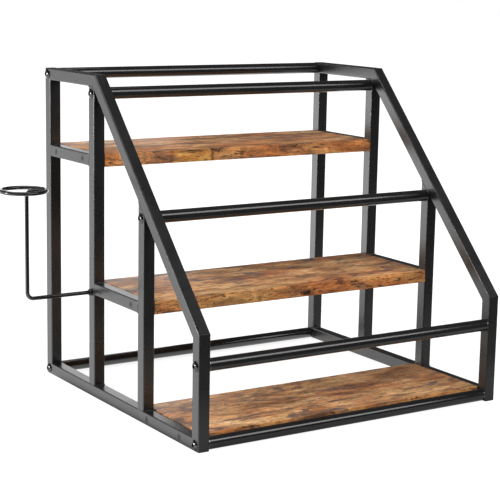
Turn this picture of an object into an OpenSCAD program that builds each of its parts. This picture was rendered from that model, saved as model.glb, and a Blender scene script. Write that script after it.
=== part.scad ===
// Three-step counter rack: two welded side frames, round cross rails, wooden boards
// and a wire ring holder on the left side. All sizes are in millimetres.
// X runs along the boards, Y runs from the front to the back and Z is up.

/* [Overall] */
// Width over the two side frames
rack_w = 440; // [320:5:640]
// Depth from the front uprights to the back uprights
rack_d = 398; // [350:1:440]
// Height of the back uprights
rack_h = 407; // [395:1:460]

/* [Side frame tube] */
// Side of the square frame tube
tube = 15; // [15:0.5:18]
// Wall of the square frame tube
tube_wall = 1.2; // [1:0.1:1.8]
// Rounding of the square tube's outer edges
tube_edge_r = 1.5; // [0.8:0.1:2]

/* [Side frame layout] */
// Distance from the front of one upright to the front of the next
step = 129; // [122:1:132]
// How far the slanted tube starts in front of the rear inner upright
slope_lead = 2; // [0:0.5:5]
// Height of the slanted tube's foot on the front upright
slope_foot_z = 136; // [125:1:150]

/* [Boards] */
// Thickness of the boards
board_t = 16; // [12:0.5:19]
// Height of the middle of the top board
top_shelf_z = 301; // [280:1:320]
// Height of the middle of the middle board
middle_shelf_z = 140; // [110:1:160]
// How far the back edges of the upper boards lie in front of the uprights' back faces
board_setback = 2; // [0:0.5:6]
// How far the bottom board reaches behind the front inner uprights
bottom_board_overhang = 3.5; // [0:0.5:12]
// Gap between the bottom front rail and the bottom board
bottom_board_gap = 0.5; // [0.2:0.1:3]
// Height of the bottom board over the counter
bottom_board_lift = 0.5; // [0.2:0.1:0.9]
// Thickness of the edging on the front and back of each board
edging_t = 0.8; // [0.4:0.1:2]

/* [Cross rails] */
// Outer diameter of the round rails
rail_d = 15; // [12:0.5:15]
// Wall of the round rails
rail_wall = 1; // [0.8:0.1:1.5]
// Drop from the top of the frame to the middle of the top front rail
top_front_rail_drop = 23.5; // [23:0.5:40]
// Drop from the underside of the slanted tube to the middle of the middle rail
middle_rail_drop = 11; // [10:0.5:40]
// Height of the middle of the front rail
front_rail_z = 99; // [60:1:110]

/* [Rail fixings] */
// Thickness of the insert flange between a rail and the side frame
insert_flange_t = 1; // [0.5:0.1:2]
// Length of the threaded insert inside the rail
insert_len = 16; // [14:1:24]
// Clearance of the insert in the rail, on the radius
insert_fit = 0.05; // [0.02:0.01:0.1]
// Diameter of the rail bolts
bolt_d = 6; // [5:0.5:7]
// Length of the rail bolts under the head
bolt_len = 28; // [22:1:30]
// Diameter of the bolt heads
bolt_head_d = 12.5; // [10:0.5:14]
// Height of the domed bolt heads
bolt_head_h = 3.2; // [2.8:0.1:4.5]
// Height of the straight rim under the dome of the bolt heads
bolt_rim_h = 0.5; // [0.2:0.1:1]
// Width across the flats of the bolts' hexagon socket
bolt_socket_af = 4; // [3:0.5:5]
// Depth of the bolts' hexagon socket
bolt_socket_depth = 2; // [1:0.1:2.5]
// Clearance of the bolts in the frame holes, on the radius
bolt_hole_fit = 0.2; // [0.1:0.05:0.5]
// Clearance of the threads, on the radius
thread_fit = 0.05; // [0.02:0.01:0.1]

/* [Shelf screws] */
// Diameter of the shelf screws
screw_d = 4; // [3:0.5:5]
// Length of the shelf screws
screw_len = 38; // [30:1:50]
// Diameter of the countersunk screw heads
screw_head_d = 8; // [7:0.5:9]
// Distance of the screws from the two ends of a shelf support
screw_inset = 17; // [8:0.5:30]
// Distance of the screws from the front and the back edge of the bottom board
bottom_screw_inset = 27.5; // [12:0.5:40]
// Depth of the cross recess in the screw heads
screw_recess_depth = 1.4; // [0.8:0.1:1.8]
// Width of the arms of the cross recess
screw_recess_w = 0.9; // [0.6:0.1:1.2]
// Length of the screws' pointed tip
screw_tip_len = 4; // [2:0.5:6]
// Clearance of the screws in their holes, on the radius
screw_fit = 0.1; // [0.05:0.05:0.3]

/* [Ring holder] */
// Diameter of the holder's wire
wire_d = 5; // [4:0.5:6]
// Outer diameter of the ring
ring_d = 60; // [50:1:80]
// Distance from the frame to the holder's vertical rod
holder_reach = 87; // [70:1:120]
// Distance from the vertical rod to the ring's centre, away from the frame
ring_shift = 4; // [0:0.5:8]
// Height of the holder's lower arm
holder_arm_z = 135; // [90:1:180]
// Height of the ring over the lower arm
holder_rise = 134; // [90:1:180]
// Bend radius of the holder's wire, at the middle of the wire
wire_bend_r = 8; // [7:0.5:12]
// Width across the flats of the holder's lock nut
lock_nut_af = 8; // [8:0.5:10]
// Thickness of the holder's lock nut
lock_nut_t = 2.7; // [2:0.1:4]
// Diameter of the rivet nut's flange
rivet_flange_d = 10; // [9:0.5:12]
// Thickness of the rivet nut's flange
rivet_flange_t = 0.8; // [0.5:0.1:1.2]
// Diameter of the rivet nut's body
rivet_body_d = 7.4; // [7:0.2:8]
// Length of the rivet nut inside the tube
rivet_len = 9; // [7:0.5:10]

/* [Hidden] */
$fn = 48;
// Colours of the finishes
metal_colour = "#2c2c2e";
board_colour = "#9b6b43";
edging_colour = "#a9713f";
bolt_colour = "#8c8c8e";
// Overrun of a cutting shape past the face that it cuts
cut = 1;
// Share of a mitre's own length by which its cutting line overruns at each end
mitre_overrun = 0.5;
// How far the upper arm stops short of the middle of the ring's wire
ring_cope = 0.75;
inner_w = rack_w - 2 * tube;
half_tube = tube / 2;
slope_top_y = 2 * step - slope_lead;
slope_angle = atan2(rack_h - slope_foot_z, slope_top_y);
// Corners of the side frame as [y, z], outside and inside
front_foot = [0, 0];
back_foot = [rack_d, 0];
back_top = [rack_d, rack_h];
slope_top = [slope_top_y, rack_h];
slope_foot = [0, slope_foot_z];
front_foot_in = [tube, tube];
back_foot_in = [rack_d - tube, tube];
back_top_in = [rack_d - tube, rack_h - tube];
slope_top_in = slope_top + tube * [tan(slope_angle / 2), -1];
slope_foot_in = slope_foot + tube * [1, -tan((90 - slope_angle) / 2)];
// Height of the slanted tube's underside at a given depth
function slope_under_z(y) = slope_top_in[1] + (y - slope_top_in[0]) * tan(slope_angle);
// Middle of each rail as [y, z]
top_back_axis = [rack_d - half_tube, rack_h - half_tube];
top_front_axis = [2 * step + half_tube, rack_h - top_front_rail_drop];
middle_axis = [step + half_tube, slope_under_z(step + half_tube) - middle_rail_drop];
front_axis = [half_tube, front_rail_z];
bottom_front_axis = [half_tube, half_tube];
bottom_back_axis = [rack_d - half_tube, half_tube];
rail_axes = [
    top_back_axis, top_front_axis, middle_axis,
    front_axis, bottom_front_axis, bottom_back_axis
];
// Depths of the upper boards, and the place of the bottom board
top_board_d = rack_d - board_setback - 2 * step;
middle_board_d = step + tube - board_setback;
bottom_board_y = half_tube + rail_d / 2 + bottom_board_gap;
bottom_board_z = bottom_board_lift + board_t / 2;
bottom_board_d = step + tube + bottom_board_overhang - bottom_board_y;
// Front and back end of each shelf support, in depth
top_support_ends = [2 * step + tube, rack_d - tube];
middle_support_ends = [step + tube, 2 * step];
// Shelf screws as [y, z]
screw_axes = [
    [top_support_ends[0] + screw_inset, top_shelf_z],
    [top_support_ends[1] - screw_inset, top_shelf_z],
    [middle_support_ends[0] + screw_inset, middle_shelf_z],
    [middle_support_ends[1] - screw_inset, middle_shelf_z],
    [bottom_board_y + bottom_screw_inset, half_tube],
    [bottom_board_y + bottom_board_d - bottom_screw_inset, half_tube]
];
// Dome of the bolt heads, and how high it stands at the flats of its socket
bolt_head_r = bolt_head_d / 2;
bolt_dome_h = bolt_head_h - bolt_rim_h;
bolt_dome_r = (bolt_dome_h ^ 2 + bolt_head_r ^ 2) / (2 * bolt_dome_h);
bolt_top_h = bolt_head_h - bolt_dome_r + sqrt(bolt_dome_r ^ 2 - (bolt_socket_af / 2) ^ 2);
// Places of the ring holder
holder_y = 2 * step + half_tube;
rod_x = -rack_w / 2 - holder_reach;
ring_x = rod_x - ring_shift;
ring_z = holder_arm_z + holder_rise;
ring_mid_r = (ring_d - wire_d) / 2;
// The part's origin is the middle of its whole footprint, ring holder included
left_reach = -ring_x + ring_d / 2;
right_reach = rack_w / 2 + bolt_top_h;
origin_x = (right_reach - left_reach) / 2;

// Moves a piece from the rack's own axes to the part's origin
module placed() {
    translate([-origin_x, -rack_d / 2, 0])
        children();
}

// Square with rounded corners, centred
module rounded_square(side, r) {
    square([side, side - 2 * r], center = true);
    square([side - 2 * r, side], center = true);
    for (x = [-1, 1])
        for (y = [-1, 1])
            translate([x * (side / 2 - r), y * (side / 2 - r)])
                circle(r);
}

// Cross-section of the frame tube
module tube_profile() {
    difference() {
        rounded_square(tube, tube_edge_r);
        square(tube - 2 * tube_wall, center = true);
    }
}

// Prism across the frame tube, from an outline of [y, z] points
module cross_prism(outline) {
    translate([-cut, 0, 0])
        rotate([90, 0, 90])
            linear_extrude(tube + 2 * cut)
                polygon(outline);
}

// Straight frame tube with its centre line from point a to point b, as [y, z]
module tube_bar(a, b) {
    run = b - a;
    translate([half_tube, a[0], a[1]])
        rotate([atan2(-run[0], run[1]), 0, 0])
            linear_extrude(norm(run))
                tube_profile();
}

// Point past q, seen from p, by the mitre's overrun
function past(p, q) = q + (q - p) * mitre_overrun;

// Frame tube cut to a mitre at both ends, from its outer and inner corner points
module mitred_tube(a_out, a_in, b_out, b_in) {
    a = (a_out + a_in) / 2;
    b = (b_out + b_in) / 2;
    way = (b - a) / norm(b - a);
    intersection() {
        tube_bar(a - way * tube, b + way * tube);
        cross_prism([past(a_in, a_out), past(b_in, b_out), past(b_out, b_in), past(a_out, a_in)]);
    }
}

// Everything below the slanted tube and the top tube
module under_slope() {
    far = rack_d + tube;
    intersection() {
        cross_prism([[-tube, slope_under_z(-tube)], [far, slope_under_z(far)], [far, 0], [-tube, -rack_h]]);
        cross_prism([[-tube, 0], [far, 0], [far, rack_h - tube], [-tube, rack_h - tube]]);
    }
}

// Upright inside the frame, from the bottom tube to the slanted tube
module inner_upright(front_y) {
    y = front_y + half_tube;
    intersection() {
        tube_bar([y, tube], [y, rack_h]);
        under_slope();
    }
}

// Holes of the rail bolts through both walls of the side frame
module bolt_holes() {
    for (axis = rail_axes)
        translate([-cut, axis[0], axis[1]])
            rotate([0, 90, 0])
                cylinder(d = bolt_d + 2 * bolt_hole_fit, h = tube + 2 * cut);
}

// Countersunk holes of the shelf screws through both walls of the side frame
module screw_holes() {
    shank_r = screw_d / 2 + screw_fit;
    sink_r = screw_head_d / 2 + screw_fit;
    for (axis = screw_axes)
        translate([0, axis[0], axis[1]])
            rotate([0, 90, 0]) {
                translate([0, 0, -cut])
                    cylinder(r = shank_r, h = tube + 2 * cut);
                translate([0, 0, -cut])
                    cylinder(r1 = sink_r + cut, r2 = shank_r, h = sink_r + cut - shank_r);
            }
}

// Places a piece of the side frame: side is -1 for left and 1 for right
module side_frame(side) {
    placed()
        mirror([side > 0 ? 1 : 0, 0, 0])
            translate([-rack_w / 2, 0, 0])
                children();
}

// Piece of a side frame with all the holes that cross it
module frame_piece(side) {
    color(metal_colour)
        side_frame(side)
            difference() {
                children();
                bolt_holes();
                screw_holes();
            }
}

module back_upright(side) {
    frame_piece(side)
        mitred_tube(back_foot, back_foot_in, back_top, back_top_in);
}

module top_tube(side) {
    frame_piece(side)
        mitred_tube(back_top, back_top_in, slope_top, slope_top_in);
}

module slanted_tube(side) {
    frame_piece(side)
        mitred_tube(slope_top, slope_top_in, slope_foot, slope_foot_in);
}

module front_upright(side) {
    frame_piece(side)
        mitred_tube(slope_foot, slope_foot_in, front_foot, front_foot_in);
}

module bottom_tube(side) {
    frame_piece(side)
        mitred_tube(front_foot, front_foot_in, back_foot, back_foot_in);
}

module rear_inner_upright(side) {
    frame_piece(side)
        difference() {
            inner_upright(2 * step);
            if (side < 0)
                rivet_hole();
        }
}

module front_inner_upright(side) {
    frame_piece(side)
        inner_upright(step);
}

// Level tube between two uprights that carries the end of a board
module shelf_support(side, ends, z) {
    frame_piece(side)
        tube_bar([ends[0], z], [ends[1], z]);
}

module top_shelf_support(side) {
    shelf_support(side, top_support_ends, top_shelf_z);
}

module middle_shelf_support(side) {
    shelf_support(side, middle_support_ends, middle_shelf_z);
}

// Round rail between the inserts at its two ends
module rail(axis) {
    len = inner_w - 2 * insert_flange_t;
    color(metal_colour)
        placed()
            translate([-len / 2, axis[0], axis[1]])
                rotate([0, 90, 0])
                    difference() {
                        cylinder(d = rail_d, h = len);
                        translate([0, 0, -cut])
                            cylinder(d = rail_d - 2 * rail_wall, h = len + 2 * cut);
                    }
}

// Runs its children at both ends of every rail, with +Z pointing into the rail
module at_rail_ends(from_face) {
    placed()
        for (axis = rail_axes)
            for (side = [0, 1])
                mirror([side, 0, 0])
                    translate([-rack_w / 2 + from_face, axis[0], axis[1]])
                        rotate([0, 90, 0])
                            children();
}

// Threaded insert: a flange against the side frame and a body inside the rail
module insert() {
    difference() {
        union() {
            cylinder(d = rail_d, h = insert_flange_t);
            cylinder(d = rail_d - 2 * rail_wall - 2 * insert_fit, h = insert_flange_t + insert_len);
        }
        translate([0, 0, -cut])
            cylinder(d = bolt_d + 2 * thread_fit, h = insert_flange_t + insert_len + 2 * cut);
    }
}

module rail_inserts() {
    color(bolt_colour)
        at_rail_ends(tube)
            insert();
}

// Domed bolt with a hexagon socket, its head outside the frame
module bolt() {
    difference() {
        union() {
            intersection() {
                translate([0, 0, bolt_dome_r - bolt_head_h])
                    sphere(bolt_dome_r);
                translate([0, 0, -bolt_head_h])
                    cylinder(r = bolt_head_r, h = bolt_head_h);
            }
            cylinder(d = bolt_d, h = bolt_len);
        }
        translate([0, 0, -bolt_head_h - cut])
            cylinder(d = bolt_socket_af / cos(30), h = bolt_socket_depth + cut, $fn = 6);
    }
}

module rail_bolts() {
    color(bolt_colour)
        at_rail_ends(0)
            bolt();
}

// Board with its front edge at front_y and its middle at mid_z, between the edging strips
module board(front_y, mid_z, depth) {
    color(board_colour)
        placed()
            difference() {
                translate([-inner_w / 2, front_y + edging_t, mid_z - board_t / 2])
                    cube([inner_w, depth - 2 * edging_t, board_t]);
                for (side = [0, 1])
                    mirror([side, 0, 0])
                        translate([-rack_w / 2, 0, 0])
                            pilot_holes();
            }
}

// Holes of the shelf screws in the ends of the boards
module pilot_holes() {
    for (axis = screw_axes)
        translate([tube - cut, axis[0], axis[1]])
            rotate([0, 90, 0])
                cylinder(d = screw_d + 2 * screw_fit, h = screw_len - tube + 2 * cut);
}

// Strips on the front and back edge of a board
module edging(front_y, mid_z, depth) {
    color(edging_colour)
        placed()
            for (y = [front_y, front_y + depth - edging_t])
                translate([-inner_w / 2, y, mid_z - board_t / 2])
                    cube([inner_w, edging_t, board_t]);
}

module top_board() {
    board(2 * step, top_shelf_z, top_board_d);
}

module middle_board() {
    board(step, middle_shelf_z, middle_board_d);
}

module bottom_board() {
    board(bottom_board_y, bottom_board_z, bottom_board_d);
}

module top_board_edging() {
    edging(2 * step, top_shelf_z, top_board_d);
}

module middle_board_edging() {
    edging(step, middle_shelf_z, middle_board_d);
}

module bottom_board_edging() {
    edging(bottom_board_y, bottom_board_z, bottom_board_d);
}

// Countersunk wood screw with a cross recess, flush with the outside of the frame
module shelf_screw() {
    head_r = screw_head_d / 2;
    shank_r = screw_d / 2;
    difference() {
        union() {
            cylinder(r1 = head_r, r2 = shank_r, h = head_r - shank_r);
            cylinder(r = shank_r, h = screw_len - screw_tip_len);
            translate([0, 0, screw_len - screw_tip_len])
                cylinder(r1 = shank_r, r2 = 0, h = screw_tip_len);
        }
        for (turn = [0, 90])
            rotate([0, 0, turn])
                translate([-head_r / 2, -screw_recess_w / 2, -cut])
                    cube([head_r, screw_recess_w, screw_recess_depth + cut]);
    }
}

module shelf_screws() {
    color(metal_colour)
        placed()
            for (axis = screw_axes)
                for (side = [0, 1])
                    mirror([side, 0, 0])
                        translate([-rack_w / 2, axis[0], axis[1]])
                            rotate([0, 90, 0])
                                shelf_screw();
}

// Places a piece of the ring holder, with x, y and z of the rack
module on_holder() {
    placed()
        translate([0, holder_y, 0])
            children();
}

// Round wire along X
module wire_x(from_x, to_x, z) {
    translate([from_x, 0, z])
        rotate([0, 90, 0])
            cylinder(d = wire_d, h = to_x - from_x);
}

// Quarter bend of the wire in the XZ plane, around the point [x, z]
module wire_bend(x, z, turn) {
    translate([x, 0, z])
        rotate([90, 0, 0])
            rotate([0, 0, turn])
                rotate_extrude(angle = 90)
                    translate([wire_bend_r, 0])
                        circle(d = wire_d);
}

module ring() {
    translate([ring_x, 0, ring_z])
        rotate_extrude()
            translate([ring_mid_r, 0])
                circle(d = wire_d);
}

module holder_ring() {
    color(metal_colour)
        on_holder()
            ring();
}

// Bent wire: lower arm, vertical rod and the upper arm that carries the ring
module holder_wire() {
    bend_x = rod_x + wire_bend_r;
    color(metal_colour)
        on_holder()
            union() {
                wire_x(bend_x, -rack_w / 2 + rivet_len, holder_arm_z);
                wire_bend(bend_x, holder_arm_z + wire_bend_r, 180);
                translate([rod_x, 0, holder_arm_z + wire_bend_r])
                    cylinder(d = wire_d, h = holder_rise - 2 * wire_bend_r);
                wire_bend(bend_x, ring_z - wire_bend_r, 90);
                difference() {
                    wire_x(bend_x, ring_x + ring_mid_r - ring_cope, ring_z);
                    ring();
                }
            }
}

// Hexagon nut that locks the lower arm against the frame
module holder_lock_nut() {
    color(metal_colour)
        on_holder()
            translate([-rack_w / 2 - rivet_flange_t - lock_nut_t, 0, holder_arm_z])
                rotate([0, 90, 0])
                    difference() {
                        cylinder(d = lock_nut_af / cos(30), h = lock_nut_t, $fn = 6);
                        translate([0, 0, -cut])
                            cylinder(d = wire_d + 2 * thread_fit, h = lock_nut_t + 2 * cut);
                    }
}

// Rivet nut in the outer wall of the left rear inner upright
module holder_rivet_nut() {
    color(bolt_colour)
        on_holder()
            translate([-rack_w / 2, 0, holder_arm_z])
                rotate([0, 90, 0])
                    difference() {
                        union() {
                            translate([0, 0, -rivet_flange_t])
                                cylinder(d = rivet_flange_d, h = rivet_flange_t);
                            cylinder(d = rivet_body_d, h = rivet_len);
                        }
                        translate([0, 0, -rivet_flange_t - cut])
                            cylinder(d = wire_d + 2 * thread_fit, h = rivet_flange_t + rivet_len + 2 * cut);
                    }
}

// Hole of the rivet nut, in the frame's outer wall only
module rivet_hole() {
    translate([-cut, holder_y, holder_arm_z])
        rotate([0, 90, 0])
            cylinder(d = rivet_body_d + 2 * thread_fit, h = tube_wall + 2 * cut);
}

back_upright(-1);  // left_back_upright
top_tube(-1);  // left_top_tube
slanted_tube(-1);  // left_slanted_tube
front_upright(-1);  // left_front_upright
bottom_tube(-1);  // left_bottom_tube
rear_inner_upright(-1);  // left_rear_inner_upright
front_inner_upright(-1);  // left_front_inner_upright
top_shelf_support(-1);  // left_top_shelf_support
middle_shelf_support(-1);  // left_middle_shelf_support
back_upright(1);  // right_back_upright
top_tube(1);  // right_top_tube
slanted_tube(1);  // right_slanted_tube
front_upright(1);  // right_front_upright
bottom_tube(1);  // right_bottom_tube
rear_inner_upright(1);  // right_rear_inner_upright
front_inner_upright(1);  // right_front_inner_upright
top_shelf_support(1);  // right_top_shelf_support
middle_shelf_support(1);  // right_middle_shelf_support
rail(top_back_axis);  // top_back_rail
rail(top_front_axis);  // top_front_rail
rail(middle_axis);  // middle_rail
rail(front_axis);  // front_rail
rail(bottom_front_axis);  // bottom_front_rail
rail(bottom_back_axis);  // bottom_back_rail
rail_inserts();
rail_bolts();
top_board();
middle_board();
bottom_board();
top_board_edging();
middle_board_edging();
bottom_board_edging();
shelf_screws();
holder_wire();
holder_ring();
holder_lock_nut();
holder_rivet_nut();
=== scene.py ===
"""Looks of a three-step counter rack: black steel frame, wooden boards and a wire ring holder.

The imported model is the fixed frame. Its nodes keep their shape and get finishes, and the pieces
whose surface shows most, such as rails, bolts, screws, boards and wire, are made again in full
detail in the same place. All lengths are in metres, unless a name ends in _mm.
"""

import logging
import math
from collections.abc import Sequence
from dataclasses import dataclass, field
from enum import Enum

import bmesh
import bpy
from mathutils import Matrix, Vector


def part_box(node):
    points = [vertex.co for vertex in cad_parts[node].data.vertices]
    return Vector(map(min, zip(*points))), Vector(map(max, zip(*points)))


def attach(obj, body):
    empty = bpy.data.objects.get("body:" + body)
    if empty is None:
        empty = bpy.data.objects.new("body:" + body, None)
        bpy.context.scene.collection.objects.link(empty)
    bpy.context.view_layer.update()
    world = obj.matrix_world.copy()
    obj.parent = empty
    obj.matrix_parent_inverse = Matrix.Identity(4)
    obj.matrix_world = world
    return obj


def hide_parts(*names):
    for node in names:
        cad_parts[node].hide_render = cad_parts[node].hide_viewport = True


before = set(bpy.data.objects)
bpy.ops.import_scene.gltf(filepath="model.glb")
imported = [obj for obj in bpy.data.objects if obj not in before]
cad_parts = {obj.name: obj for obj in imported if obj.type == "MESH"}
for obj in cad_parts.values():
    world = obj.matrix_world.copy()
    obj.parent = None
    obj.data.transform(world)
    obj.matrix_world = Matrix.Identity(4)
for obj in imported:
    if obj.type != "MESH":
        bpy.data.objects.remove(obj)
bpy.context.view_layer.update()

MM = 0.001
BODY = "root"
LOG = logging.getLogger("rack")

# Ends along X of the paler stave on the top edging, and the place of the knot on the middle one
PALE_STAVE = (-0.0463, 0.0078)
EDGE_KNOT = (0.0732, -0.070, 0.1370)

Colour = tuple[float, float, float]
Point = tuple[float, float, float]


class Slot(Enum):
    """Material slots of the record."""

    POWDER_COAT = "powder_coat"
    PLATED_STEEL = "plated_steel"
    BLACK_HARDWARE = "black_hardware"
    BOARD = "rustic_board"
    EDGING = "board_edging"


class Side(Enum):
    """Sides of the rack, with the sign of their X direction."""

    LEFT = -1
    RIGHT = 1


class Level(Enum):
    """The three shelves, from the back step to the front one."""

    TOP = "top"
    MIDDLE = "middle"
    BOTTOM = "bottom"


class Graph:
    """A node tree that is put together call by call."""

    def __init__(self, tree: bpy.types.NodeTree) -> None:
        """Starts on a tree.

        Args:
            tree: The shader or geometry node tree to fill.
        """
        self.tree = tree

    def add(self, kind: str, inputs: dict | None = None, **settings: object) -> bpy.types.Node:
        """Adds one node.

        Args:
            kind: The node's type name.
            inputs: Sockets by name or index, each with a value or with the socket that feeds it.
            settings: Properties of the node itself.

        Returns:
            The new node.
        """
        node = self.tree.nodes.new(kind)
        for name, value in settings.items():
            setattr(node, name, value)
        for key, value in (inputs or {}).items():
            if isinstance(value, bpy.types.NodeSocket):
                self.tree.links.new(value, node.inputs[key])
            else:
                node.inputs[key].default_value = value
        return node

    def math(self, operation: str, *values: object) -> bpy.types.NodeSocket:
        """Adds a Math node and returns its result."""
        return self.add("ShaderNodeMath", dict(enumerate(values)), operation=operation).outputs[0]

    def vector(self, operation: str, first: object, second: object) -> bpy.types.NodeSocket:
        """Adds a Vector Math node and returns its result."""
        return self.add("ShaderNodeVectorMath", {0: first, 1: second}, operation=operation).outputs[0]

    def noise(self, place: object, scale: float, detail: float, rough: float = 0.5,
              warp: float = 0.0) -> bpy.types.NodeSocket:
        """Adds a noise texture.

        Args:
            place: The coordinates.
            scale: The noise's scale.
            detail: The number of finer layers.
            rough: The strength of each finer layer.
            warp: The distortion.

        Returns:
            The noise value, about 0.5 in the middle.
        """
        inputs = {"Vector": place, "Scale": scale, "Detail": detail, "Roughness": rough, "Distortion": warp}
        return self.add("ShaderNodeTexNoise", inputs).outputs[0]

    def span(self, value: object, low: float, high: float, new_low: float = 0.0, new_high: float = 1.0,
             smooth: bool = True) -> bpy.types.NodeSocket:
        """Maps the span from low to high onto new_low to new_high, clamped."""
        inputs = {"Value": value, "From Min": low, "From Max": high, "To Min": new_low, "To Max": new_high}
        kind = "SMOOTHSTEP" if smooth else "LINEAR"
        return self.add("ShaderNodeMapRange", inputs, interpolation_type=kind).outputs[0]

    def blend(self, factor: object, first: object, second: object, mode: str = "MIX") -> bpy.types.NodeSocket:
        """Blends two colours and returns the result.

        Args:
            factor: The share of the second colour.
            first: The first colour, a socket or three numbers.
            second: The second colour, a socket or three numbers.
            mode: How they blend.

        Returns:
            The blended colour.
        """
        inputs = {0: factor, 6: opaque(first), 7: opaque(second)}
        return self.add("ShaderNodeMix", inputs, data_type="RGBA", blend_type=mode).outputs[2]

    def ramp(self, factor: object, stops: Sequence[tuple[float, Colour]]) -> bpy.types.NodeSocket:
        """Adds a colour ramp with the given stops and returns its colour."""
        node = self.add("ShaderNodeValToRGB", {0: factor})
        while len(node.color_ramp.elements) < len(stops):
            node.color_ramp.elements.new(1.0)
        for element, (place, colour) in zip(node.color_ramp.elements, stops):
            element.position = place
            element.color = opaque(colour)
        return node.outputs[0]

    def socket(self, name: str, kind: str, direction: str = "INPUT", value: object = None) -> None:
        """Adds a named socket to the tree's interface.

        Args:
            name: The socket's name.
            kind: The end of its type name, such as Float.
            direction: INPUT or OUTPUT.
            value: The default value, where it has one.
        """
        made = self.tree.interface.new_socket(name=name, in_out=direction, socket_type="NodeSocket" + kind)
        if value is not None:
            made.default_value = value


def opaque(colour: object) -> object:
    """Adds an alpha of 1 to a colour of three numbers, and leaves a socket as it is."""
    if isinstance(colour, bpy.types.NodeSocket) or len(colour) == 4:
        return colour
    return (*colour, 1.0)


def handling_group() -> bpy.types.NodeTree:
    """Builds the shader group for the marks that handling leaves on a finish.

    Returns:
        A group that takes coordinates and puts out a smudge mask and a fine texture height.
    """
    tree = bpy.data.node_groups.new("handling", "ShaderNodeTree")
    graph = Graph(tree)
    graph.socket("Vector", "Vector")
    graph.socket("Smudge Scale", "Float", value=30.0)
    graph.socket("Texture Scale", "Float", value=1500.0)
    graph.socket("Smudge", "Float", "OUTPUT")
    graph.socket("Height", "Float", "OUTPUT")
    given = graph.add("NodeGroupInput")
    broad = graph.add("ShaderNodeTexNoise", {"Vector": given.outputs["Vector"],
                                             "Scale": given.outputs["Smudge Scale"],
                                             "Detail": 4.0, "Roughness": 0.6}).outputs[0]
    fine = graph.add("ShaderNodeTexNoise", {"Vector": given.outputs["Vector"],
                                            "Scale": given.outputs["Texture Scale"],
                                            "Detail": 1.0}).outputs[0]
    graph.add("NodeGroupOutput", {"Smudge": graph.span(broad, 0.35, 0.65), "Height": fine})
    return tree


def block_shade(graph: Graph, place: bpy.types.NodeSocket) -> bpy.types.NodeSocket:
    """Shades an edge strip as if it were glued up from short staves of different tone.

    Args:
        graph: The group's graph.
        place: The coordinates.

    Returns:
        A colour to multiply with: one tone for each stave, dark at the joints.
    """
    along = graph.add("ShaderNodeSeparateXYZ", {0: place}).outputs[0]
    run = graph.math("MULTIPLY", along, 9.5)
    cell = graph.math("FLOOR", run)
    inside = graph.math("SUBTRACT", run, cell)
    tone = graph.add("ShaderNodeTexWhiteNoise", {"W": cell}, noise_dimensions="1D").outputs[0]
    colour = graph.ramp(tone, [(0.0, (0.78, 0.66, 0.60)), (0.35, (0.95, 0.90, 0.86)), (0.7, (1.05, 1.02, 0.98)),
                               (1.0, (1.28, 1.34, 1.30))])
    joint = graph.span(graph.math("ABSOLUTE", graph.math("SUBTRACT", inside, 0.03)), 0.0, 0.05, 0.75, 0.0)
    return graph.blend(joint, colour, (0.42, 0.30, 0.25))


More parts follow.
